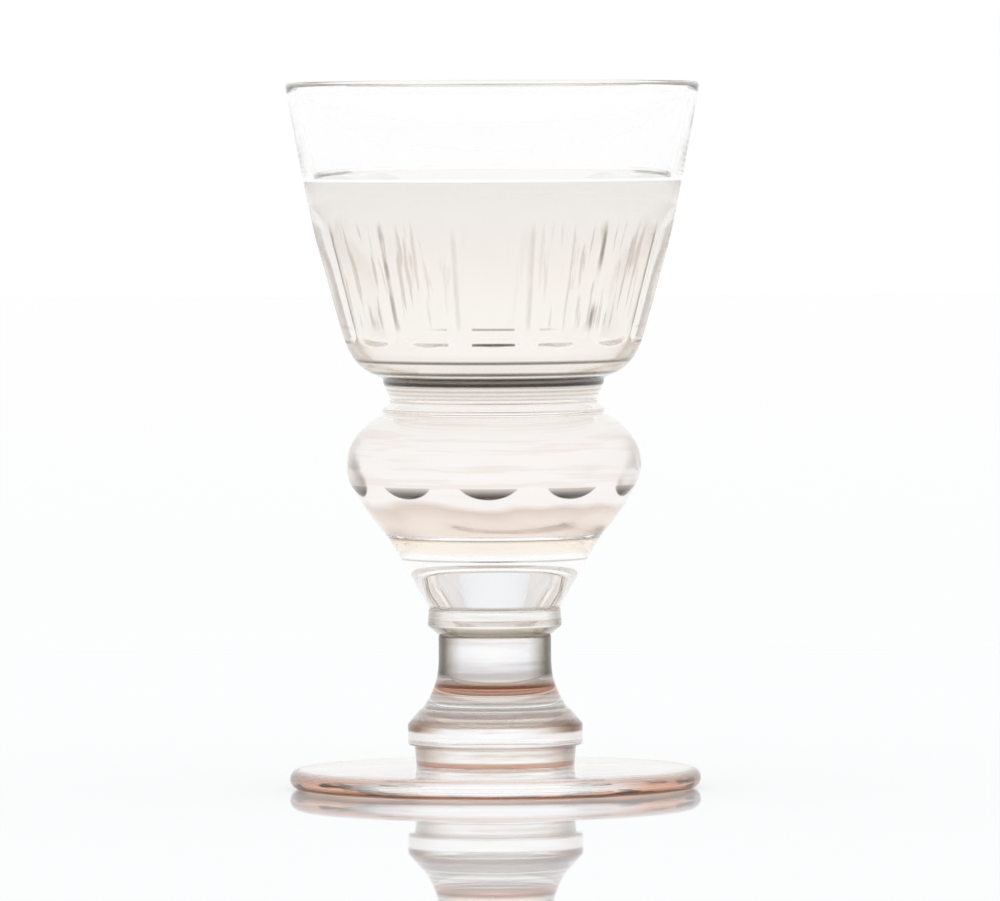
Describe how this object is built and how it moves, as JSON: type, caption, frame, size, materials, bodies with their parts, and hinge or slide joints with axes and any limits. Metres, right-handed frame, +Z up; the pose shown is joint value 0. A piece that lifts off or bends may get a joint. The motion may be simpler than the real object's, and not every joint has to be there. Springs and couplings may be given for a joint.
{
  "type": "absinthe glass",
  "caption": "Stemmed clear drinking glass with a fluted cup over a bulb reservoir ringed with raised ovals, a short ringed stem and a round foot.",
  "frame": {"origin": "middle of the foot's flat underside, on the surface that the glass stands on", "axes": "+Z up along the glass's axis of revolution, -Y towards the viewer of the picture, +X to the viewer's right"},
  "size_m": [0.0878, 0.0878, 0.15],
  "materials": {
    "clear_glass": "fire-polished clear glass, smooth inside and out"
  },
  "bodies": {
    "root": {"foot": "clear_glass", "lower_knop": "clear_glass", "stem": "clear_glass", "collar_ring": "clear_glass", "bowl": "clear_glass"}
  },
  "joints": []
}
